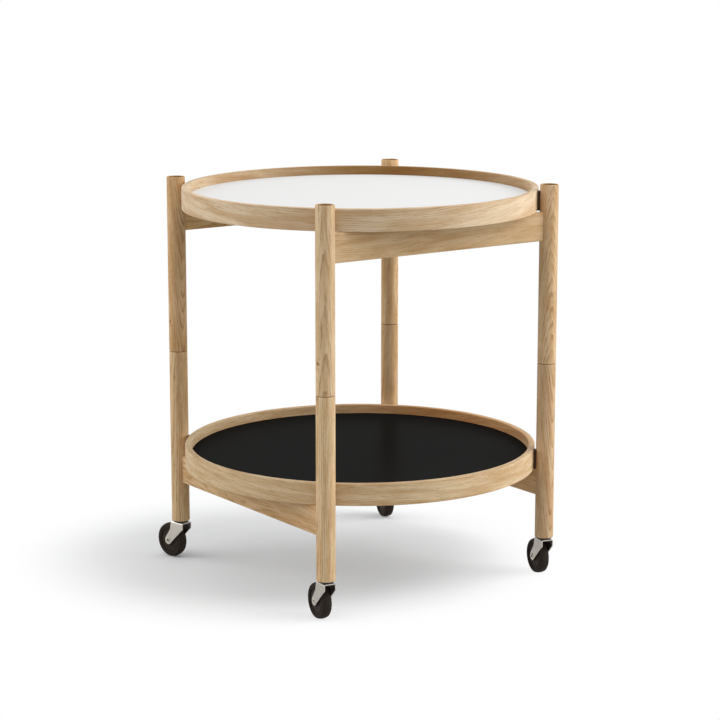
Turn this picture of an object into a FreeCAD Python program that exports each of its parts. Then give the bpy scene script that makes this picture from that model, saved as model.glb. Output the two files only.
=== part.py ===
import FreeCAD, Part
import math
import os

os.makedirs("parts", exist_ok=True)
Vector = FreeCAD.Vector
Z_AXIS = Vector(0, 0, 1)
ORIGIN = Vector(0, 0, 0)

# Trays: a bent hoop with a board let into its middle, the same on both faces
tray_diameter = 500.0
rim_height = 30.0
rim_wall = 9.0
rim_edge_round = 0.8
core_thickness = 3.0
laminate_thickness = 0.8
groove_depth = 4.0
glue_line = 0.05
laminate_margin = 0.5
upper_tray_height = 524.5
lower_tray_height = 156.5

# Legs: turned rods, each cut at half its length
leg_diameter = 26.0
leg_gap = 2.9
leg_rise = 7.5
leg_top_round = 1.0
leg_foot_round = 0.8
leg_cut_chamfer = 0.6
dish_depth = 2.6
dish_border = 1.6
dish_edge_round = 0.4
dish_floor_round = 2.0

# Rails: the upper pair runs front and back, the lower pair left and right
rail_height = 40.5
rail_thickness = 7.0
rail_edge_round = 2.0
tenon_thickness = 5.0
tenon_shoulder = 5.0
tenon_reach = 15.0
tenon_end_clearance = 0.5

# Pivot in each leg at the cut, so that the empty frame folds flat
pivot_washer_diameter = 24.0
pivot_washer_thickness = 0.8
pivot_bore_diameter = 14.0
pivot_journal_diameter = 10.0
pivot_running_clearance = 0.05
pivot_bush_length = 24.0
pivot_head_height = 3.0
pivot_head_clearance = 0.3
pivot_thread_diameter = 8.0
pivot_thread_length = 24.0
pivot_insert_length = 26.0

# Bumpers: strips on the legs that centre the trays
bumper_width = 10.0
bumper_height = 27.0
bumper_lift = 1.0
bumper_clearance = 0.3

# Casters
wheel_diameter = 50.0
wheel_width = 14.0
tread_crown_radius = 16.0
tread_shoulder_round = 2.6
tyre_section = 8.0
side_groove_inset = 1.0
side_groove_width = 2.0
side_groove_depth = 0.45
hub_face_recess = 1.3
hub_boss_diameter = 15.0
hub_boss_clearance = 0.2
wheel_running_clearance = 0.05
axle_diameter = 5.0
axle_head_diameter = 7.2
axle_head_height = 0.9
axle_head_round = 0.7
axle_bore_diameter = 3.6
axle_bore_flare = 0.7
fork_sheet = 1.5
fork_bend_round = 2.6
fork_side_clearance = 0.5
fork_wheel_clearance = 4.0
fork_plate_length = 24.0
fork_knee_round = 3.6
fork_front_drop = 9.5
fork_back_drop = 13.0
fork_back_set = 2.2
fork_end_radius = 6.2
trail = 19.0
stem_diameter = 8.0
stem_length = 36.0
stem_running_clearance = 0.05
stem_tip_chamfer = 1.2
stem_head_diameter = 12.0
stem_head_height = 1.8
stem_neck_diameter = 6.2
stem_neck_height = 2.0
stem_neck_depth = 4.0
grip_ring_clearance = 0.15
socket_wall = 1.4
socket_length = 38.0
collar_diameter = 22.0
collar_height = 2.3
collar_edge_round = 0.6
collar_bore_clearance = 0.2
swivel_clearance = 0.2

# Directions in which the wheels trail, in degrees from +X
caster_headings = {
    "front_left": 82.0,
    "front_right": 76.0,
    "back_right": 75.0,
    "back_left": 102.0,
}

# Sizes that follow from those above
tray_radius = tray_diameter / 2
rim_inner_radius = tray_radius - rim_wall
leg_radius = leg_diameter / 2
leg_circle = tray_radius + leg_gap + leg_radius
leg_offset = leg_circle / math.sqrt(2)
wheel_radius = wheel_diameter / 2
fork_inner_width = wheel_width + 2 * fork_side_clearance
fork_outer_width = fork_inner_width + 2 * fork_sheet
fork_rise = wheel_radius + fork_wheel_clearance + fork_sheet
fork_top = wheel_radius + fork_rise
leg_bottom = fork_top + swivel_clearance + collar_height
leg_top = upper_tray_height + rim_height + leg_rise
leg_cut = (leg_bottom + leg_top) / 2
upper_leg_bottom = leg_cut + pivot_washer_thickness / 2
lower_leg_top = leg_cut - pivot_washer_thickness / 2
stem_radius = stem_diameter / 2
socket_radius = stem_radius + stem_running_clearance + socket_wall

corners = {
    "front_left": (-1, -1),
    "front_right": (1, -1),
    "back_right": (1, 1),
    "back_left": (-1, 1),
}


def leg_centre(corner):
    side_x, side_y = corners[corner]
    return Vector(side_x * leg_offset, side_y * leg_offset, 0)


def rounded_face(outline, place):
    """Face inside an outline of (a, b, corner radius), where place puts (a, b) in space.

    A point whose radius is None lies midway on an arc between the sharp corners beside it.
    """
    points = [Vector(a, b, 0) for a, b, radius in outline]
    count = len(points)
    bends = []
    for index, (a, b, radius) in enumerate(outline):
        here = points[index]
        if not radius:
            bends.append((here, None, here))
            continue
        back = (points[index - 1] - here).normalize()
        ahead = (points[(index + 1) % count] - here).normalize()
        half_angle = back.getAngle(ahead) / 2
        reach = radius / math.tan(half_angle)
        middle = here + (back + ahead).normalize() * (radius / math.sin(half_angle) - radius)
        bends.append((here + back * reach, middle, here + ahead * reach))
    edges = []
    for index, (start, middle, end) in enumerate(bends):
        if outline[index][2] is None:
            continue
        if middle:
            edges.append(Part.Arc(place(start), place(middle), place(end)).toShape())
        after = (index + 1) % count
        if outline[after][2] is None:
            far_end = points[(after + 1) % count]
            edges.append(Part.Arc(place(end), place(points[after]), place(far_end)).toShape())
        elif (bends[after][0] - end).Length > 1e-6:
            edges.append(Part.LineSegment(place(end), place(bends[after][0])).toShape())
    return Part.Face(Part.Wire(edges))


def turned(outline):
    """Solid turned about the Z axis from an outline of (radius, height, corner radius)."""
    face = rounded_face(outline, lambda p: Vector(p.x, 0, p.y))
    return face.revolve(ORIGIN, Z_AXIS, 360)


def plain(points):
    return [(a, b, 0) for a, b in points]


def ring(outer_radius, inner_radius, bottom, top):
    """Plain ring about the Z axis."""
    outline = [(inner_radius, bottom), (outer_radius, bottom), (outer_radius, top), (inner_radius, top)]
    return turned(plain(outline))


def rod(radius, bottom, top):
    return Part.makeCylinder(radius, top - bottom, Vector(0, 0, bottom))


def beam(outline, start, length):
    """Bar along X with its section given as (y, z, corner radius)."""
    face = rounded_face(outline, lambda p: Vector(start, p.x, p.y))
    return face.extrude(Vector(length, 0, 0))


def moved(shape, where):
    copy = shape.copy()
    copy.translate(where)
    return copy


def at_legs(shape):
    return Part.makeCompound([moved(shape, leg_centre(corner)) for corner in corners])


def save(name, shape):
    shape.exportStep("parts/" + name + ".step")


# Trays


def make_tray(bottom):
    """Rim, core and the two laminate faces of a tray standing at the given height."""
    top = bottom + rim_height
    middle = bottom + rim_height / 2
    groove_radius = rim_inner_radius + groove_depth
    core_low = middle - core_thickness / 2
    core_high = middle + core_thickness / 2
    rim = turned([
        (rim_inner_radius, bottom, rim_edge_round),
        (tray_radius, bottom, rim_edge_round),
        (tray_radius, top, rim_edge_round),
        (rim_inner_radius, top, rim_edge_round),
        (rim_inner_radius, core_high, 0),
        (groove_radius, core_high, 0),
        (groove_radius, core_low, 0),
        (rim_inner_radius, core_low, 0),
    ])
    laminate_radius = rim_inner_radius - laminate_margin
    return {
        "rim": rim,
        "core": rod(groove_radius - glue_line, core_low, core_high),
        "top_laminate": rod(laminate_radius, core_high, core_high + laminate_thickness),
        "under_laminate": rod(laminate_radius, core_low - laminate_thickness, core_low),
    }


for level, height in (("upper", upper_tray_height), ("lower", lower_tray_height)):
    for piece, shape in make_tray(height).items():
        save(level + "_tray_" + piece, shape)


# Rails and their mortises


def tenon_outline(rail_top, clearance):
    half = tenon_thickness / 2 + clearance
    high = rail_top - tenon_shoulder + clearance
    low = rail_top - rail_height + tenon_shoulder - clearance
    return [(-half, low, half), (half, low, half), (half, high, half), (-half, high, half)]


def make_rail(rail_top):
    """Rail along X between two legs, its ends hollowed to the legs and tenoned into them."""
    half = rail_thickness / 2
    low = rail_top - rail_height
    section = [(-half, low), (half, low), (half, rail_top), (-half, rail_top)]
    rail = beam([(y, z, rail_edge_round) for y, z in section], -leg_offset, 2 * leg_offset)
    for side in (-1, 1):
        leg = rod(leg_radius + glue_line, low, rail_top)
        rail = rail.cut(moved(leg, Vector(side * leg_offset, 0, 0)))
    tenon_start = -leg_offset + leg_radius - tenon_reach
    tenons = beam(tenon_outline(rail_top, 0), tenon_start, -2 * tenon_start)
    return rail.fuse(tenons).removeSplitter()


def make_mortise(rail_top):
    """Hole for a tenon that comes from +X into a leg standing on the Z axis."""
    start = leg_radius - tenon_reach - tenon_end_clearance
    return beam(tenon_outline(rail_top, glue_line), start, leg_diameter)


def turn_about_z(shape, degrees):
    copy = shape.copy()
    copy.rotate(ORIGIN, Z_AXIS, degrees)
    return copy


upper_rail = make_rail(upper_tray_height)
save("upper_rail_front", moved(upper_rail, Vector(0, -leg_offset, 0)))
save("upper_rail_back", moved(upper_rail, Vector(0, leg_offset, 0)))
lower_rail = turn_about_z(make_rail(lower_tray_height), 90)
save("lower_rail_left", moved(lower_rail, Vector(-leg_offset, 0, 0)))
save("lower_rail_right", moved(lower_rail, Vector(leg_offset, 0, 0)))


# Legs


def make_upper_leg():
    """Upper half with a dish turned in its top and a bore for the pivot bush."""
    dish_radius = leg_radius - dish_border
    leg = turned([
        (0, upper_leg_bottom, 0),
        (leg_radius - leg_cut_chamfer, upper_leg_bottom, 0),
        (leg_radius, upper_leg_bottom + leg_cut_chamfer, 0),
        (leg_radius, leg_top, leg_top_round),
        (dish_radius, leg_top, dish_edge_round),
        (dish_radius, leg_top - dish_depth, dish_floor_round),
        (0, leg_top - dish_depth, 0),
    ])
    bore_depth = pivot_bush_length + pivot_head_height + 2 * pivot_head_clearance
    return leg.cut(rod(pivot_bore_diameter / 2, upper_leg_bottom, upper_leg_bottom + bore_depth))


def make_lower_leg():
    """Lower half with bores for the pivot insert and the caster socket."""
    leg = turned([
        (0, leg_bottom, 0),
        (leg_radius, leg_bottom, leg_foot_round),
        (leg_radius, lower_leg_top - leg_cut_chamfer, 0),
        (leg_radius - leg_cut_chamfer, lower_leg_top, 0),
        (0, lower_leg_top, 0),
    ])
    leg = leg.cut(rod(pivot_bore_diameter / 2, lower_leg_top - pivot_insert_length, lower_leg_top))
    return leg.cut(rod(socket_radius + glue_line, leg_bottom, leg_bottom + socket_length))


upper_leg = make_upper_leg()
lower_leg = make_lower_leg()
upper_mortise = make_mortise(upper_tray_height)
lower_mortise = make_mortise(lower_tray_height)
for corner, (side_x, side_y) in corners.items():
    upper = upper_leg.cut(turn_about_z(upper_mortise, 90 + 90 * side_x))
    lower = lower_leg.cut(turn_about_z(lower_mortise, -90 * side_y))
    save("upper_leg_" + corner, moved(upper, leg_centre(corner)))
    save("lower_leg_" + corner, moved(lower, leg_centre(corner)))


# Leg pivots

journal_radius = pivot_journal_diameter / 2
thread_radius = pivot_thread_diameter / 2
pivot_seat_radius = pivot_bore_diameter / 2 - glue_line
pivot_head_radius = pivot_bore_diameter / 2 - pivot_head_clearance
bush_top = upper_leg_bottom + pivot_bush_length
head_bottom = bush_top + pivot_head_clearance
head_top = head_bottom + pivot_head_height
pivot_pin = turned(plain([
    (0, lower_leg_top - pivot_thread_length),
    (thread_radius, lower_leg_top - pivot_thread_length),
    (thread_radius, lower_leg_top),
    (journal_radius, lower_leg_top),
    (journal_radius, head_bottom),
    (pivot_head_radius, head_bottom),
    (pivot_head_radius, head_top),
    (0, head_top),
]))
bush_bore = journal_radius + pivot_running_clearance
insert_bottom = lower_leg_top - pivot_insert_length
bush = ring(pivot_seat_radius, bush_bore, upper_leg_bottom, bush_top)
insert = ring(pivot_seat_radius, thread_radius + glue_line, insert_bottom, lower_leg_top)
washer = ring(pivot_washer_diameter / 2, bush_bore, lower_leg_top, upper_leg_bottom)
save("pivot_pins", at_legs(pivot_pin))
save("pivot_bushes", at_legs(bush))
save("pivot_inserts", at_legs(insert))
save("pivot_washers", at_legs(washer))


# Bumpers


def make_bumper(tray_bottom):
    """Strip between a leg on the X axis and the rim, hollowed to both."""
    low = tray_bottom + bumper_lift
    corner = Vector(tray_radius, -bumper_width / 2, low)
    strip = Part.makeBox(leg_circle - tray_radius, bumper_width, bumper_height, corner)
    strip = strip.cut(rod(tray_radius + bumper_clearance, low, low + bumper_height))
    leg = rod(leg_radius + glue_line, low, low + bumper_height)
    return strip.cut(moved(leg, Vector(leg_circle, 0, 0)))


for level, height in (("upper", upper_tray_height), ("lower", lower_tray_height)):
    bumper = make_bumper(height)
    bumpers = [turn_about_z(bumper, 45 + 90 * quarter) for quarter in range(4)]
    save(level + "_bumpers", Part.makeCompound(bumpers))


# Caster sockets, grip rings and collars, which stay with the legs

stem_top = fork_top + stem_length
neck_top = stem_top - stem_neck_depth
neck_bottom = neck_top - stem_neck_height
socket = ring(socket_radius, socket_radius - socket_wall, leg_bottom, leg_bottom + socket_length)
grip_ring = ring(
    stem_radius,
    stem_neck_diameter / 2 + grip_ring_clearance,
    neck_bottom + grip_ring_clearance,
    neck_top - grip_ring_clearance,
)
collar_bottom = leg_bottom - collar_height
collar_inner = stem_radius + collar_bore_clearance
collar = turned([
    (collar_inner, collar_bottom, 0),
    (collar_diameter / 2, collar_bottom, collar_edge_round),
    (collar_diameter / 2, leg_bottom, collar_edge_round),
    (collar_inner, leg_bottom, 0),
])
save("caster_sockets", at_legs(socket))
save("caster_grip_rings", at_legs(grip_ring))
save("caster_collars", at_legs(collar))


# Casters, drawn with the axle at the origin along Y and the leg towards +X


def tangent_point(point, radius, side):
    """Where the line from a point touches the circle of that radius about the axle."""
    distance = math.hypot(*point)
    angle = math.atan2(point[1], point[0]) + side * math.acos(radius / distance)
    return radius * math.cos(angle), radius * math.sin(angle)


def make_fork():
    """Sheet bent to a channel, then trimmed to the outline of its two arms."""
    half = fork_outer_width / 2
    inner = half - fork_sheet
    low = -2 * fork_end_radius
    front = trail + fork_plate_length / 2
    back = trail - fork_plate_length / 2
    start = -2 * fork_end_radius
    length = front - start
    channel = beam([
        (-half, low, 0),
        (half, low, 0),
        (half, fork_rise, fork_bend_round),
        (-half, fork_rise, fork_bend_round),
    ], start, length)
    inner_round = fork_bend_round - fork_sheet
    channel = channel.cut(beam([
        (-inner, low, 0),
        (inner, low, 0),
        (inner, fork_rise - fork_sheet, inner_round),
        (-inner, fork_rise - fork_sheet, inner_round),
    ], start, length))
    front_knee = (front, fork_rise - fork_front_drop)
    back_knee = (back - fork_back_set, fork_rise - fork_back_drop)
    front_touch = tangent_point(front_knee, fork_end_radius, -1)
    back_touch = tangent_point(back_knee, fork_end_radius, 1)
    arm = rounded_face([
        (back, fork_rise, 0),
        (front, fork_rise, 0),
        front_knee + (fork_knee_round,),
        front_touch + (0,),
        back_touch + (0,),
        back_knee + (fork_knee_round,),
    ], lambda p: Vector(p.x, -half, p.y)).extrude(Vector(0, fork_outer_width, 0))
    across = Vector(0, 1, 0)
    end = Part.makeCylinder(fork_end_radius, fork_outer_width, Vector(0, -half, 0), across)
    fork = channel.common(arm.fuse(end).removeSplitter())
    hole = Part.makeCylinder(axle_diameter / 2 + glue_line, fork_outer_width, Vector(0, -half, 0), across)
    stem_hole = rod(stem_radius + glue_line, fork_rise - fork_sheet, fork_rise)
    return fork.cut(hole).cut(moved(stem_hole, Vector(trail, 0, 0)))


def make_stem():
    """Spindle with a rivet head under the fork plate and a neck for the grip ring."""
    plate_under = fork_rise - fork_sheet
    neck_low = neck_bottom - wheel_radius
    neck_high = neck_top - wheel_radius
    tip = fork_rise + stem_length
    stem = turned([
        (0, plate_under - stem_head_height, 0),
        (stem_head_diameter / 2, plate_under - stem_head_height, stem_head_height / 2),
        (stem_head_diameter / 2, plate_under, 0),
        (stem_radius, plate_under, 0),
        (stem_radius, neck_low, 0),
        (stem_neck_diameter / 2, neck_low, 0),
        (stem_neck_diameter / 2, neck_high, 0),
        (stem_radius, neck_high, 0),
        (stem_radius, tip - stem_tip_chamfer, 0),
        (stem_radius - stem_tip_chamfer, tip, 0),
        (0, tip, 0),
    ])
    return moved(stem, Vector(trail, 0, 0))


def along_axle(shape):
    """Turns a solid made about Z so that it lies about the axle."""
    copy = shape.copy()
    copy.rotate(ORIGIN, Vector(1, 0, 0), 90)
    return copy


def make_axle():
    """Tubular rivet across the fork, with a low rolled head and a flared mouth on each side."""
    head = fork_outer_width / 2
    end = head + axle_head_height
    bore = axle_bore_diameter / 2
    mouth = bore + axle_bore_flare
    flare_start = end - axle_bore_flare
    return along_axle(turned([
        (bore, -flare_start, 0),
        (mouth, -end, 0),
        (axle_head_diameter / 2, -end, axle_head_round),
        (axle_head_diameter / 2, -head, 0),
        (axle_diameter / 2, -head, 0),
        (axle_diameter / 2, head, 0),
        (axle_head_diameter / 2, head, 0),
        (axle_head_diameter / 2, end, axle_head_round),
        (mouth, end, 0),
        (bore, flare_start, 0),
    ]))


hub_radius = wheel_radius - tyre_section


def make_hub():
    """Disc with a boss at the axle and a recessed face on each side."""
    face = wheel_width / 2 - hub_face_recess
    boss = fork_inner_width / 2 - hub_boss_clearance
    bore = axle_diameter / 2 + wheel_running_clearance
    boss_radius = hub_boss_diameter / 2
    return along_axle(turned(plain([
        (bore, -boss),
        (boss_radius, -boss),
        (boss_radius, -face),
        (hub_radius, -face),
        (hub_radius, face),
        (boss_radius, face),
        (boss_radius, boss),
        (bore, boss),
    ])))


def make_tyre():
    """Crowned tread that runs into round shoulders, with a groove turned in each side."""
    side = wheel_width / 2
    inner = hub_radius + glue_line
    groove_low = hub_radius + side_groove_inset
    groove_high = groove_low + side_groove_width
    groove_floor = side - side_groove_depth
    crown_centre = wheel_radius - tread_crown_radius
    # The shoulder arc touches the flat side and, from within, the crown arc
    shoulder_depth = side - tread_shoulder_round
    lean = math.asin(shoulder_depth / (tread_crown_radius - tread_shoulder_round))
    shoulder_centre = crown_centre + (tread_crown_radius - tread_shoulder_round) * math.cos(lean)
    touch = (crown_centre + tread_crown_radius * math.cos(lean), tread_crown_radius * math.sin(lean))
    halfway = (lean + math.pi / 2) / 2
    bulge = (
        shoulder_centre + tread_shoulder_round * math.cos(halfway),
        shoulder_depth + tread_shoulder_round * math.sin(halfway),
    )
    return along_axle(turned([
        (inner, -side, 0),
        (groove_low, -side, 0),
        (groove_low, -groove_floor, 0),
        (groove_high, -groove_floor, 0),
        (groove_high, -side, 0),
        (shoulder_centre, -side, 0),
        (bulge[0], -bulge[1], None),
        (touch[0], -touch[1], 0),
        (wheel_radius, 0, None),
        touch + (0,),
        bulge + (None,),
        (shoulder_centre, side, 0),
        (groove_high, side, 0),
        (groove_high, groove_floor, 0),
        (groove_low, groove_floor, 0),
        (groove_low, side, 0),
        (inner, side, 0),
    ]))


caster_pieces = {
    "fork": make_fork(),
    "stem": make_stem(),
    "axle": make_axle(),
    "hub": make_hub(),
    "tyre": make_tyre(),
}
for corner, heading in caster_headings.items():
    trailing = Vector(math.cos(math.radians(heading)), math.sin(math.radians(heading)), 0)
    axle_centre = leg_centre(corner) + trailing * trail + Vector(0, 0, wheel_radius)
    for piece, shape in caster_pieces.items():
        turned_round = turn_about_z(shape, heading + 180)
        save("caster_" + piece + "_" + corner, moved(turned_round, axle_centre))
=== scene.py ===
import math

import bpy
import numpy as np
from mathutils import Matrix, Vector


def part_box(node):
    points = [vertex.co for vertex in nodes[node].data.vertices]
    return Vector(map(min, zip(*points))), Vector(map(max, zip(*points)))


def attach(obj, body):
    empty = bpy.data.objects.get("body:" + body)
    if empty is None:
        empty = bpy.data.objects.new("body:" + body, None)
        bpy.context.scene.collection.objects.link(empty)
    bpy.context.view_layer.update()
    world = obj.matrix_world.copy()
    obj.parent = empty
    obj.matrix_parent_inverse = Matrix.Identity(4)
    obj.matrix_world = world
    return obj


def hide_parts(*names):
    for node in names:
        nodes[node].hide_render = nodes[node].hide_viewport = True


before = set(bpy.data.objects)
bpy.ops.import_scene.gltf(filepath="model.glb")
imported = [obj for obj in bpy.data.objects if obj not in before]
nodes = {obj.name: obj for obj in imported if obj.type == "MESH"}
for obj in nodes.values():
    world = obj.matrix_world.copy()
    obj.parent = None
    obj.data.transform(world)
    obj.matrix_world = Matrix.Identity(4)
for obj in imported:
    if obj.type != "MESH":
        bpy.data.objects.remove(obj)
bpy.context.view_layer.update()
mm = 0.001
plainWhite = (1, 1, 1, 1)


# camera: a long lens a little above the table, with the front left leg nearest to it
cameraSetup = {
    "turn": -35.19,        # degrees round the table from its front, less than 0 towards its left side
    "rise": 11.31,         # degrees above level
    "distance": 3.3056,    # metres to the aim point
    "aimHeight": 0.305,    # metres, on the table's middle line
    "sensor": 36,          # mm
    "lens": 116.09,        # mm
}


def aimed(name, data, place, target):
    # a new object at its place, with its -Z axis turned towards the target
    thing = bpy.data.objects.new(name, data)
    bpy.context.scene.collection.objects.link(thing)
    thing.location = place
    thing.rotation_euler = (Vector(target) - Vector(place)).to_track_quat("-Z", "Y").to_euler()
    return thing


turn = math.radians(cameraSetup["turn"])
rise = math.radians(cameraSetup["rise"])
aimPoint = Vector((0, 0, cameraSetup["aimHeight"]))
towardsCamera = Vector((math.sin(turn), -math.cos(turn), 0))    # level, from the table to the camera
pictureRight = Vector((math.cos(turn), math.sin(turn), 0))      # level, to the right in the picture
up = Vector((0, 0, 1))


def inPicture(way):
    # a way that is given right, towards the camera (both level) and up, turned to the table's axes
    return way[0] * pictureRight + way[1] * towardsCamera + way[2] * up


cameraPlace = aimPoint + cameraSetup["distance"] * inPicture((0, math.cos(rise), math.sin(rise)))
cameraData = bpy.data.cameras.new("camera")
cameraData.sensor_width = cameraSetup["sensor"]
cameraData.lens = cameraSetup["lens"]
bpy.context.scene.camera = aimed("camera", cameraData, cameraPlace, aimPoint)
bpy.context.scene.view_settings.view_transform = "Standard"
print("camera", [round(v, 3) for v in cameraPlace])


def linear(hexColour):
    # sRGB hex to linear: a straight line below 0.04045, a 2.4 power above it
    coded = np.array([int(hexColour[i:i + 2], 16) for i in (1, 3, 5)]) / 255
    plain = np.where(coded <= 0.04045, coded / 12.92, ((coded + 0.055) / 1.055) ** 2.4)
    return (*plain, 1.0)


def addNode(tree, kind, settings=None, values=None, links=None):
    # one node with its settings, the values of its sockets and the outputs linked to them
    node = tree.nodes.new("ShaderNode" + kind)
    for name, value in (settings or {}).items():
        setattr(node, name, value)
    for socket, value in (values or {}).items():
        node.inputs[socket].default_value = value
    for socket, source in (links or {}).items():
        tree.links.new(source, node.inputs[socket])
    return node


# a Mix node has sockets of the same name for numbers, vectors and colours, so the colour ones go by number
mixShare, mixUnder, mixOver, mixResult = 0, 6, 7, 2


def newMaterial(name):
    # a material as Blender first makes it, with its node tree and its shader
    material = bpy.data.materials.new(name)
    material.use_nodes = True
    tree = material.node_tree
    return material, tree, tree.nodes["Principled BSDF"]


def howFar(tree, source, middle, reach, turned=0.0):
    # the distance from a middle point, in shares of the reach along each axis, turned round Z
    place = addNode(tree, "Mapping", {"vector_type": "TEXTURE"},
                    {"Location": middle, "Rotation": (0, 0, turned), "Scale": reach},
                    {"Vector": source}).outputs[0]
    return addNode(tree, "VectorMath", {"operation": "LENGTH"}, {}, {0: place}).outputs["Value"]


# oiled oak: planed, sanded and oiled, so a warm straw ground with darker lines where each year's
# open early wood was cut, short pores that catch the light, brown end grain with painted shade in the
# dished leg tops, and hardly any shine
oakSetup = {
    "pale": "#E9D1B0",        # the ground goes from pale to honey
    "honey": "#D3B188",
    "line": "#9C754A",
    "pore": "#805E3C",
    # end grain, darker still as painted shade in the dished leg tops
    "endGrainAndShade": "#74522F",
    "knot": "#6E4C2E",
    "ringWidth": 1.9,         # mm between growth rings
    "earlyShare": 0.6,        # the part of a ring that its dark early wood fades over
    "sway": 10,               # how far the rings sway, in radians of a ring
    "swayWidth": 18,          # mm across the grain for one sway of the rings
    "swayLength": 110,        # mm along the grain
    "swayDetail": 3,          # how many finer sways lie on it
    "swayRoughness": 0.55,    # the strength of each beside the one before
    "lineStrength": 0.75,     # how far the year lines cover the ground
    "poreStrength": 0.5,      # how far the pores do
    "poresElsewhere": 0.3,    # the share of that outside the early wood
    # streaks: mm along and across the grain, how many finer ones lie on them, and the noise levels where
    # they begin and are full
    "flocks": (90, 9, 3, 0.3, 0.7),           # lighter and darker wood
    "strongLines": (38, 5, 2, 0.25, 0.75),    # where the year lines show more or less
    "pores": (9, 0.8, 2, 0.52, 0.66),         # about three times as wide as real ones, so that they show
    "streakRoughness": 0.6,   # the strength of each finer streak beside the one before
    "knotRadius": 2.0,        # mm, its dark eye
    "knotCore": 0.4,          # the part of that radius that is fully dark
    "knotShare": 0.9,         # how far its colour covers the wood
    "knotReach": 7,           # mm, how far from it the rings bend
    "knotBend": 12,           # how far they bend, in radians of a ring
    "knotLong": 1.5,          # how much longer than wide it is
    "endBorder": 1.7,         # mm, the pale edge round the end grain of a leg
    "endSoft": 0.2,           # mm, how far its inner line is blurred to each side
    "endShare": 0.85,         # how far the end grain's colour, with its painted shade, covers the wood
    "poreDepth": 0.1,         # mm
    "bumpStrength": 0.5,
    "roughness": (0.44, 0.62),    # between the pores and in them
    "ior": 1.45,
    "specular": 0.03,
}
waveRepeat = 2 * math.pi / 20    # the distance between two rings of Blender's wave pattern at scale 1
noHeight = 1e9                   # a reach so long that the height doesn't count


def streaks(tree, wood, length, width, detail, low, high, most=1.0):
    # noise drawn out along the grain, from 0 at its low level to the most at its high one
    drawn = addNode(tree, "Mapping", {}, {"Scale": [1 / (size * mm) for size in (length, width, width)]},
                    {"Vector": wood}).outputs[0]
    noise = addNode(tree, "TexNoise", {},
                    {"Scale": 1, "Detail": detail, "Roughness": oakSetup["streakRoughness"]},
                    {"Vector": drawn}).outputs["Fac"]
    return addNode(tree, "MapRange", {"interpolation_type": "SMOOTHSTEP"},
                   {"From Min": low, "From Max": high, "To Max": most}, {"Value": noise}).outputs[0]


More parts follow.
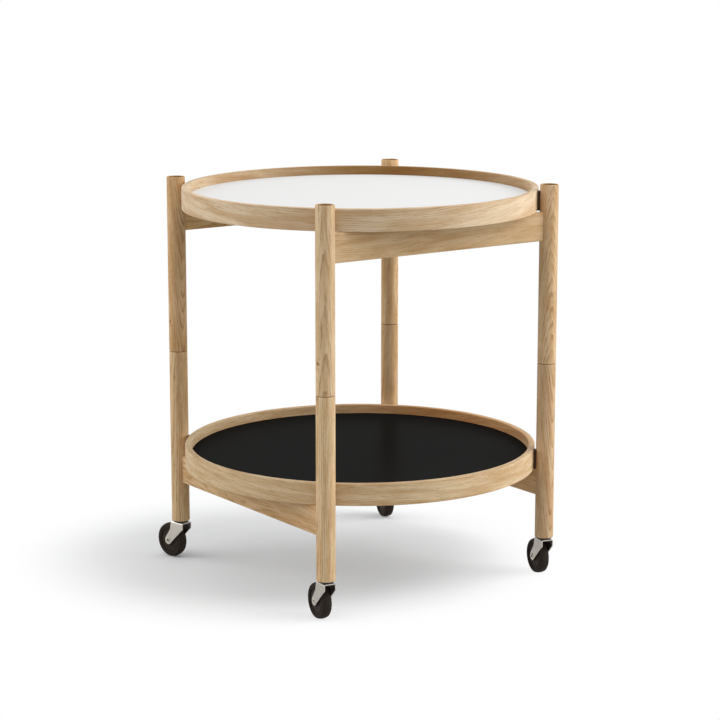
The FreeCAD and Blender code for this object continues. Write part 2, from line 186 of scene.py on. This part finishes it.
def oak(name, heart, run, tone, bold, space="Object", leg=None, knot=None, paintedShade=None):
    # heart is a point (m) on the middle line of the log and run that line's direction; tone multiplies the
    # colours and bold the strength of the grain; leg is the middle and radius of a round leg, knot the place
    # of a pin knot, and the last a tone of painted shade with the mesh attribute that says how much of it
    # shows
    setup = oakSetup
    lineStrength = bold * setup["lineStrength"]
    poreStrength = bold * setup["poreStrength"]
    material, tree, shader = newMaterial(name)
    source = addNode(tree, "TexCoord").outputs[space]
    toLog = Vector(run).rotation_difference(Vector((1, 0, 0))).to_matrix()
    wood = addNode(tree, "Mapping", {}, {"Rotation": toLog.to_euler(), "Location": -(toLog @ Vector(heart))},
                   {"Vector": source}).outputs[0]

    # growth rings round the log's middle line, swaying along it; a ring begins dark and fades
    ringScale = waveRepeat / (setup["ringWidth"] * mm)
    ringPlace = addNode(tree, "Mapping", {}, {"Scale": (setup["swayWidth"] / setup["swayLength"], 1, 1)},
                        {"Vector": wood}).outputs[0]
    rings = addNode(tree, "TexWave", {"wave_type": "RINGS", "rings_direction": "X", "wave_profile": "SAW"},
                    {"Scale": ringScale, "Distortion": setup["sway"], "Detail": setup["swayDetail"],
                     "Detail Scale": 1 / (setup["swayWidth"] * mm * ringScale),
                     "Detail Roughness": setup["swayRoughness"]}, {"Vector": ringPlace})
    earlyWood = addNode(tree, "MapRange", {"interpolation_type": "SMOOTHSTEP"},
                        {"From Min": setup["earlyShare"], "From Max": 0.0, "To Max": lineStrength},
                        {"Value": rings.outputs["Fac"]}).outputs[0]
    strong = streaks(tree, wood, *setup["strongLines"])
    if knot:
        # a pin knot: the rings close round it and show at their full strength
        fromKnot = howFar(tree, source, knot, (1, 1, setup["knotLong"]))
        bend = addNode(tree, "MapRange", {"interpolation_type": "SMOOTHSTEP"},
                       {"From Max": setup["knotReach"] * mm, "To Min": setup["knotBend"], "To Max": 0},
                       {"Value": fromKnot}).outputs[0]
        tree.links.new(bend, rings.inputs["Phase Offset"])
        strong = addNode(tree, "Math", {"operation": "MAXIMUM", "use_clamp": True}, {},
                         {0: strong, 1: bend}).outputs[0]
    lines = addNode(tree, "Math", {"operation": "MULTIPLY"}, {}, {0: earlyWood, 1: strong}).outputs[0]
    # most pores lie in the early wood
    poreSpread = addNode(tree, "MapRange", {}, {"From Max": lineStrength, "To Min": setup["poresElsewhere"]},
                         {"Value": earlyWood}).outputs[0]
    pores = addNode(tree, "Math", {"operation": "MULTIPLY"}, {},
                    {0: streaks(tree, wood, *setup["pores"], poreStrength), 1: poreSpread}).outputs[0]

    # colours laid over the ground one by one: how each blends, and where it shows if not all over
    layers = [("MIX", setup["line"], lines), ("MIX", setup["pore"], pores), ("MULTIPLY", tone, None)]
    # painted shade: a second tone laid over the wood as far as the mesh attribute says
    if paintedShade:
        paintedShadeTone, attribute = paintedShade
        paintedShadeShare = addNode(tree, "Attribute", {"attribute_name": attribute}).outputs["Fac"]
        layers.append(("MULTIPLY", paintedShadeTone, paintedShadeShare))
    if leg:
        # the end grain inside a pale edge, where the leg top is dished, is darker: partly the oil it soaks
        # up, partly painted shade in the dish
        middle, radius = leg
        fromMiddle = howFar(tree, source, middle, (1, 1, noHeight))
        border = radius - setup["endBorder"] * mm
        soft = setup["endSoft"] * mm
        endGrainAndShadeShare = addNode(tree, "MapRange", {},
                       {"From Min": border + soft, "From Max": border - soft, "To Max": setup["endShare"]},
                       {"Value": fromMiddle}).outputs[0]
        layers.append(("MIX", setup["endGrainAndShade"], endGrainAndShadeShare))
    if knot:
        eyeEdge = setup["knotRadius"] * mm
        eye = addNode(tree, "MapRange", {"interpolation_type": "SMOOTHSTEP"},
                      {"From Min": eyeEdge, "From Max": setup["knotCore"] * eyeEdge,
                       "To Max": setup["knotShare"]}, {"Value": fromKnot}).outputs[0]
        layers.append(("MIX", setup["knot"], eye))
    colour = addNode(tree, "Mix", {"data_type": "RGBA"},
                     {mixUnder: linear(setup["pale"]), mixOver: linear(setup["honey"])},
                     {mixShare: streaks(tree, wood, *setup["flocks"])}).outputs[mixResult]
    for blend, hexColour, share in layers:
        sockets = {mixShare: share, mixUnder: colour} if share else {mixUnder: colour}
        colour = addNode(tree, "Mix", {"data_type": "RGBA", "blend_type": blend},
                         {mixShare: 1.0, mixOver: linear(hexColour)}, sockets).outputs[mixResult]

    betweenPores, inPores = setup["roughness"]
    roughness = addNode(tree, "MapRange", {},
                        {"From Max": poreStrength, "To Min": betweenPores, "To Max": inPores},
                        {"Value": pores}).outputs[0]
    bump = addNode(tree, "Bump", {"invert": True},
                   {"Strength": setup["bumpStrength"], "Distance": setup["poreDepth"] * mm},
                   {"Height": pores}).outputs[0]
    tree.links.new(colour, shader.inputs["Base Color"])
    tree.links.new(roughness, shader.inputs["Roughness"])
    tree.links.new(bump, shader.inputs["Normal"])
    shader.inputs["IOR"].default_value = setup["ior"]
    shader.inputs["Specular IOR Level"].default_value = setup["specular"]
    return material


# what the fine patterns share: how many finer specks lie on them, the strength of each beside the one
# before, and how strongly the bumps show
speckSetup = {"detail": 3, "roughness": 0.6, "bumpStrength": 0.4}


def speckled(name, base, fleck, size, rough, depth, metallic=0.0, specular=0.5, drawn=(1, 1, 1),
             pattern="Noise"):
    # a fine all-over pattern, size mm across and drawn out along an axis where asked: the colour from base
    # to fleck, the roughness from one value to the other and a bump of depth mm all follow it
    material, tree, shader = newMaterial(name)
    place = addNode(tree, "Mapping", {}, {"Scale": [1 / (size * mm * long) for long in drawn]},
                    {"Vector": addNode(tree, "TexCoord").outputs["Object"]}).outputs[0]
    cells = pattern == "Voronoi"
    grit = addNode(tree, "Tex" + pattern, {},
                   {"Scale": 1, "Detail": 0 if cells else speckSetup["detail"],
                    "Roughness": speckSetup["roughness"]},
                   {"Vector": place}).outputs["Distance" if cells else "Fac"]
    colour = addNode(tree, "Mix", {"data_type": "RGBA"},
                     {mixUnder: linear(base), mixOver: linear(fleck)}, {mixShare: grit}).outputs[mixResult]
    roughness = addNode(tree, "MapRange", {}, {"To Min": rough[0], "To Max": rough[1]},
                        {"Value": grit}).outputs[0]
    bump = addNode(tree, "Bump", {"invert": cells},
                   {"Strength": speckSetup["bumpStrength"], "Distance": depth * mm},
                   {"Height": grit}).outputs[0]
    tree.links.new(colour, shader.inputs["Base Color"])
    tree.links.new(roughness, shader.inputs["Roughness"])
    tree.links.new(bump, shader.inputs["Normal"])
    shader.inputs["Metallic"].default_value = metallic
    shader.inputs["Specular IOR Level"].default_value = specular
    return material


# high-pressure laminate, white: near smooth, with a faint satin texture
whiteLaminate = speckled("whiteLaminate", "#E6E6E6", "#E9E9E8", size=0.9, rough=(0.5, 0.6), depth=0.01,
                         specular=0.01)
# the same in black with a dead matt face, which only glints when seen very flat
blackLaminate = speckled("blackLaminate", "#191919", "#1C1C1B", size=0.9, rough=(0.28, 0.34), depth=0.01,
                         specular=0.001)
# raw fibreboard: brown, matted fibres
fibreBoard = speckled("pressedFibreBoard", "#A5835C", "#7F6242", size=1.4, rough=(0.8, 0.9), depth=0.05)
# leather: pebbles about 1 mm across with dark creases
leather = speckled("brownLeather", "#634A37", "#34251B", size=1.1, rough=(0.5, 0.75), depth=0.12,
                   specular=0.1, pattern="Voronoi")
# sheet steel, nickel plated over rolled metal: warm grey with fine level lines
forkSteel = speckled("nickelPlatedSteel", "#C7C1B9", "#B1AAA1", size=0.7, rough=(0.28, 0.4), depth=0.012,
                     metallic=1.0, drawn=(9, 9, 1))
# zinc-plated steel: cool grey, faintly clouded
zincSteel = speckled("zincSteel", "#B9BBBD", "#9FA2A6", size=1.6, rough=(0.3, 0.45), depth=0.01,
                     metallic=1.0)
# turned brass: yellow, with fine rings round the part
brass = speckled("turnedBrass", "#C9A24F", "#B48D3C", size=0.5, rough=(0.25, 0.35), depth=0.01,
                 metallic=1.0, drawn=(12, 12, 1))
# moulded nylon: black, with a soft shine
nylon = speckled("blackNylon", "#1E1C1A", "#27241F", size=0.8, rough=(0.45, 0.55), depth=0.01)
# pressed fibre washer: reddish brown and dull
fibreWasher = speckled("pressedFibreWasher", "#7A5237", "#63412B", size=0.6, rough=(0.6, 0.7), depth=0.02)
# moulded wheel plastic and tyre rubber: warm black, dull, the rubber a little rougher
wheelPlastic = speckled("mouldedWheelPlastic", "#2A241F", "#372F29", size=0.9, rough=(0.5, 0.62), depth=0.02,
                        specular=0.08)
tyreRubber = speckled("tyreRubber", "#29231E", "#362E27", size=0.8, rough=(0.6, 0.75), depth=0.04,
                      specular=0.08)

# the finish of each CAD piece that is not oak, by the start of its name
finishes = {
    "pivot_pins": zincSteel, "pivot_bushes": brass, "pivot_inserts": brass, "pivot_washers": fibreWasher,
    "upper_bumpers": leather, "lower_bumpers": leather,
    "upper_tray_core": fibreBoard, "lower_tray_core": fibreBoard,
    "upper_tray_top_laminate": whiteLaminate, "upper_tray_under_laminate": blackLaminate,
    "lower_tray_top_laminate": blackLaminate, "lower_tray_under_laminate": whiteLaminate,
    "caster_sockets": zincSteel, "caster_grip_rings": zincSteel, "caster_collars": nylon,
    "caster_fork": forkSteel, "caster_stem": zincSteel, "caster_axle": forkSteel,
    "caster_hub": wheelPlastic, "caster_tyre": tyreRubber,
}
for nodeName, node in nodes.items():
    for start, finish in finishes.items():
        if nodeName.startswith(start):
            node.material_slots[0].material = finish

# each oak piece is cut from its own place in a log: the way its grain runs, the way from the piece to the
# log's heart (mm) and the heart's lean (a share of the run), both right, towards the camera and up in the
# picture, its own tone, which multiplies the colours of the wood, and how boldly its grain shows
grainAxes = {"leg": Vector((0, 0, 1)), "front": Vector((1, 0, 0)), "side": Vector((0, 1, 0))}
oakCuts = {
    "upper_leg_front_left": ("leg", (4, -40, 0), (0.02, 0.035, 0), "#FBF8F1", 1.0),
    "lower_leg_front_left": ("leg", (60, -24, 0), (0.01, 0.0, 0), "#FFFCF2", 1.0),
    "upper_leg_front_right": ("leg", (-16, -40, 0), (0.03, 0.10, 0), "#F4EDE2", 1.0),
    "lower_leg_front_right": ("leg", (-50, -44, 0), (-0.12, 0.03, 0), "#EEE6DC", 1.0),
    "upper_leg_back_right": ("leg", (60, 20, 0), (0.05, 0.05, 0), "#F9EEDE", 1.0),
    "lower_leg_back_right": ("leg", (-60, 30, 0), (0.05, 0.03, 0), "#F3E7D7", 1.0),
    "upper_leg_back_left": ("leg", (-60, -50, 0), (-0.13, 0.03, 0), "#F0E3D0", 1.0),
    "lower_leg_back_left": ("leg", (50, -40, 0), (0.06, 0.05, 0), "#F1EADD", 1.0),
    "upper_rail_front": ("front", (10, -40, 45), (0, 0.05, 0.04), "#EDE6D8", 0.65),
    "upper_rail_back": ("front", (0, 30, -5), (0, 0.05, 0.03), "#FFEFCF", 0.8),
    "lower_rail_left": ("side", (10, -30, -14), (0.05, 0, 0.05), "#F2E8D7", 0.8),
    "lower_rail_right": ("side", (10, 30, 8), (0.04, 0, 0.05), "#F8E6CE", 0.8),
}
knotSetup = {
    "legs": ("upper_leg_front_left", "upper_leg_back_left"),
    "turn": -53,      # degrees round the leg from its side towards the camera, less than 0 to the left
    "height": 354,    # mm above the floor
}
knotTurn = math.radians(knotSetup["turn"])
knotWay = inPicture((math.sin(knotTurn), math.cos(knotTurn), 0))
for nodeName, (kind, way, lean, tone, bold) in oakCuts.items():
    low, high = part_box(nodeName)
    middle = (low + high) / 2
    radius = (high.x - low.x) / 2
    leg = (middle, radius) if kind == "leg" else None
    knot = None
    if nodeName in knotSetup["legs"]:
        knot = Vector((middle.x, middle.y, knotSetup["height"] * mm)) + radius * knotWay
    nodes[nodeName].material_slots[0].material = oak(
        "oiledOak_" + nodeName, middle + inPicture(way) * mm, grainAxes[kind] + inPicture(lean), tone, bold,
        leg=leg, knot=knot)
print("finishes:", len(finishes) + len(oakCuts))


def gridSurface(name, points, uv, sharpAngle):
    # a closed net: points is (around, section, 3), both ways wrap, uv has one more row and column; edges
    # that turn by more than sharpAngle (degrees) stay crisp
    rows, columns = points.shape[:2]
    i, j = np.meshgrid(np.arange(rows), np.arange(columns), indexing="ij")
    cornersI = np.stack([i, i + 1, i + 1, i], -1)
    cornersJ = np.stack([j, j, j + 1, j + 1], -1)
    indices = (cornersI % rows) * columns + cornersJ % columns
    mesh = bpy.data.meshes.new(name)
    mesh.vertices.add(rows * columns)
    mesh.vertices.foreach_set("co", points.ravel())
    mesh.loops.add(indices.size)
    mesh.loops.foreach_set("vertex_index", indices.ravel())
    mesh.polygons.add(rows * columns)
    mesh.polygons.foreach_set("loop_start", np.arange(rows * columns) * 4)
    mesh.polygons.foreach_set("use_smooth", np.ones(rows * columns, bool))
    mesh.uv_layers.new(name="grain").data.foreach_set("uv", uv[cornersI, cornersJ].ravel())
    mesh.update(calc_edges=True)
    mesh.set_sharp_from_angle(angle=math.radians(sharpAngle))
    piece = bpy.data.objects.new(name, mesh)
    bpy.context.scene.collection.objects.link(piece)
    return piece


# tray hoops: an oak strip bent into a ring, with a groove inside for the board
hoopSetup = {
    "edgeRound": 0.8,      # mm on the four long edges
    "gapToBoard": 0.5,     # mm between the laminate and the hoop
    "glueLine": 0.05,      # mm between the board and its groove
    "around": 360,         # steps round the ring
    "arcSteps": 5,         # steps in each edge round
    "runStep": 2.0,        # mm, the longest step on a straight run
    "sharpAngle": 35,      # degrees, past which an edge is crisp
    "scarfLength": 70,     # mm, the slanted joint where the strip's ends meet
    "scarfPlace": 75,      # degrees from +X
    # a point on the log's middle line (m) and the line's direction, along the strip, up its outer face and
    # behind it
    "heart": {"upper": (1.0, 0.06, 0.05), "lower": (1.0, -0.08, 0.05)},
    "run": (1, 0.01, 0),
    # where the grain of the outer face is lowest (degrees from +X), and how far below its middle (mm)
    "sag": {"upper": (235, 30), "lower": (290, 24)},
    "tone": {"upper": "#F8FAFD", "lower": "#F5F4ED"},
    "bold": {"upper": 0.65, "lower": 0.9},
    # the inner face has painted shade laid on round one place (degrees from +X); a higher focus keeps it
    # closer to there
    "paintedShade": {"upper": (38, 3, "#AF9774"), "lower": (14, 4, "#F5D2B4")},
}


def hoopSection(inner, outer, low, high, groove, edge, steps, runStep):
    # quarter circles at the four edges, joined by straight runs, with a square notch in the inner face,
    # which groove gives by its radius, bottom and top; r is the distance from the middle line, z the height
    sweep = np.linspace(0, math.pi / 2, steps + 1)
    turns = np.concatenate([sweep - math.pi / 2, sweep, sweep + math.pi / 2, sweep + math.pi])
    centreR = np.repeat([outer - edge, outer - edge, inner + edge, inner + edge], steps + 1)
    centreZ = np.repeat([low + edge, high - edge, high - edge, low + edge], steps + 1)
    r = centreR + edge * np.cos(turns)
    z = centreZ + edge * np.sin(turns)
    grooveRadius, grooveLow, grooveHigh = groove
    notch = 3 * (steps + 1)    # its place in the list, after the third edge
    r = np.insert(r, notch, [inner, grooveRadius, grooveRadius, inner])
    z = np.insert(z, notch, [grooveHigh, grooveHigh, grooveLow, grooveLow])
    # long runs are cut into even steps
    aheadR, aheadZ = np.roll(r, -1), np.roll(z, -1)
    count = np.ceil(np.hypot(aheadR - r, aheadZ - z) / runStep).astype(int)
    which = np.repeat(np.arange(len(r)), count)
    share = (np.arange(len(which)) - np.repeat(np.cumsum(count) - count, count)) / count[which]
    return r[which] + share * (aheadR - r)[which], z[which] + share * (aheadZ - z)[which]


def makeHoop(tray):
    # the section carried round the tray's middle line, with its sizes from the tray's CAD pieces
    setup = hoopSetup
    low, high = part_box(tray + "_tray_rim")
    boardLow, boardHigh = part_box(tray + "_tray_core")
    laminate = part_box(tray + "_tray_top_laminate")[1]
    glue = setup["glueLine"] * mm
    groove = (boardHigh.x + glue, boardLow.z - glue, boardHigh.z + glue)
    r, z = hoopSection(laminate.x + setup["gapToBoard"] * mm, high.x, low.z, high.z, groove,
                       setup["edgeRound"] * mm, setup["arcSteps"], setup["runStep"] * mm)
    # the net's start leans with height, as the scarf joint does
    lean = setup["scarfLength"] * mm / high.x / (high.z - low.z)
    share = np.linspace(0, 1, setup["around"] + 1)[:, None]
    start = math.radians(setup["scarfPlace"]) + lean * (z - low.z)
    angle = start + 2 * math.pi * share
    ring = np.stack([r * np.cos(angle), r * np.sin(angle), np.broadcast_to(z, angle.shape)], -1)
    # the grain's own map: the way round the ring, and the way round the section less a cosine wave
    along = np.hypot(np.diff(r, append=r[0]), np.diff(z, append=z[0]))
    across = np.concatenate([[0], np.cumsum(along)])
    closed = np.concatenate([angle, angle[:, :1]], 1)
    sagPlace, sag = setup["sag"][tray]
    sagging = across - sag * mm * (1 - np.cos(closed - math.radians(sagPlace)))
    uv = np.stack([closed * high.x, sagging], -1)
    hoop = gridSurface(tray + "_tray_hoop", ring[:-1], uv, setup["sharpAngle"])
    # the share of painted shade: half of one plus a cosine round the ring, raised to the focus, times how
    # near the inner face is
    paintedShadePlace, focus, paintedShadeTone = setup["paintedShade"][tray]
    inward = np.clip((high.x - r) / (high.x - r.min()), 0, 1)
    paintedShadeShare = inward * ((1 + np.cos(angle[:-1] - math.radians(paintedShadePlace))) / 2) ** focus
    hoop.data.attributes.new("paintedShade", "FLOAT", "POINT").data.foreach_set("value", paintedShadeShare.ravel())
    hoop.data.materials.append(oak(
        "oiledOak_" + tray + "_hoop", setup["heart"][tray], setup["run"], setup["tone"][tray],
        setup["bold"][tray], "UV", paintedShade=(paintedShadeTone, "paintedShade")))
    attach(hoop, tray + "_tray")
    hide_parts(tray + "_tray_rim")


for tray in ("upper", "lower"):
    makeHoop(tray)
print("hoops done")


# studio: a white surround seen by the camera and by shiny parts, soft boxes above and at both sides
studioSetup = {
    "surround": 0.63,                  # how strongly the surround lights matt surfaces
    "paper": "#FBFDFF",                # a trace of blue evens out the warm light that the wood throws on it
    "floorBounce": "#BFBFBF",          # the floor as it lights the table
    "floorReach": 12,                  # metres from the middle to its sides
    "shadowCentre": (-0.11, -0.07),    # metres right and towards the camera, where the floor is plain paper
    "shadowReach": (0.42, 0.40),       # metres to each side and to the front and back, where it is all white
    "plainShare": 0.5,                 # the share of that reach that shows the full shadow
}
softBoxes = {   # right, towards the camera, up (metres from the aim point); width, height (metres); glow
    "boxKey": ((0.8, 0.3, 2.35), (0.9, 0.9), 3.7),
    "boxAbove": ((0.0, 0.0, 2.5), (2.0, 2.0), 0.2),
    "boxRight": ((2.4, 0.0, 0.8), (2.0, 2.0), 3.8),
    "boxLeft": ((-2.4, 0.0, 0.8), (2.0, 2.0), 1.93),
}
for boxName, (place, (width, height), glow) in softBoxes.items():
    lamp = bpy.data.lights.new(boxName, "AREA")
    lamp.shape = "RECTANGLE"
    lamp.size = width
    lamp.size_y = height
    lamp.energy = glow * math.pi * width * height    # watts, so that one glow is as bright at any size
    aimed(boxName, lamp, aimPoint + inPicture(place), aimPoint)


def seenDirectly(tree):
    # 1 for rays from the camera, off shiny surfaces and through clear ones
    path = addNode(tree, "LightPath").outputs
    shiny = addNode(tree, "Math", {"operation": "MAXIMUM"}, {},
                    {0: path["Is Camera Ray"], 1: path["Is Glossy Ray"]}).outputs[0]
    return addNode(tree, "Math", {"operation": "MAXIMUM"}, {},
                   {0: shiny, 1: path["Is Transmission Ray"]}).outputs[0]


world = bpy.data.worlds.new("studio")
world.use_nodes = True
bpy.context.scene.world = world
sky = world.node_tree
dim = sky.nodes["Background"]
dim.inputs["Color"].default_value = plainWhite
dim.inputs["Strength"].default_value = studioSetup["surround"]
white = addNode(sky, "Background", {}, {"Color": plainWhite, "Strength": 1.0})
skyMix = addNode(sky, "MixShader", {}, {},
                 {0: seenDirectly(sky), 1: dim.outputs[0], 2: white.outputs[0]})
sky.links.new(skyMix.outputs[0], sky.nodes["World Output"].inputs["Surface"])

side = studioSetup["floorReach"]
floorCorners = [(-side, -side, 0), (side, -side, 0), (side, side, 0), (-side, side, 0)]
floorMesh = bpy.data.meshes.new("floor")
floorMesh.from_pydata(floorCorners, [], [(0, 1, 2, 3)])
floor = bpy.data.objects.new("floor", floorMesh)
bpy.context.scene.collection.objects.link(floor)
# white paper: matt where the table's shadow falls, fading to pure white round it
floorPaper, tree, shader = newMaterial("whitePaperSweep")
tree.nodes.remove(shader)
fromShadow = howFar(tree, addNode(tree, "TexCoord").outputs["Object"],
                    inPicture((*studioSetup["shadowCentre"], 0)), (*studioSetup["shadowReach"], 1), turn)
fade = addNode(tree, "MapRange", {"interpolation_type": "SMOOTHSTEP"},
               {"From Min": studioSetup["plainShare"], "From Max": 1.0}, {"Value": fromShadow}).outputs[0]
matt = addNode(tree, "BsdfDiffuse", {}, {"Color": linear(studioSetup["paper"])})
pure = addNode(tree, "Emission", {}, {"Color": plainWhite, "Strength": 1.0})
seen = addNode(tree, "MixShader", {}, {}, {0: fade, 1: matt.outputs[0], 2: pure.outputs[0]})
bounce = addNode(tree, "BsdfDiffuse", {}, {"Color": linear(studioSetup["floorBounce"])})
paper = addNode(tree, "MixShader", {}, {}, {0: seenDirectly(tree), 1: bounce.outputs[0], 2: seen.outputs[0]})
tree.links.new(paper.outputs[0], tree.nodes["Material Output"].inputs["Surface"])
floorMesh.materials.append(floorPaper)
print("studio done")
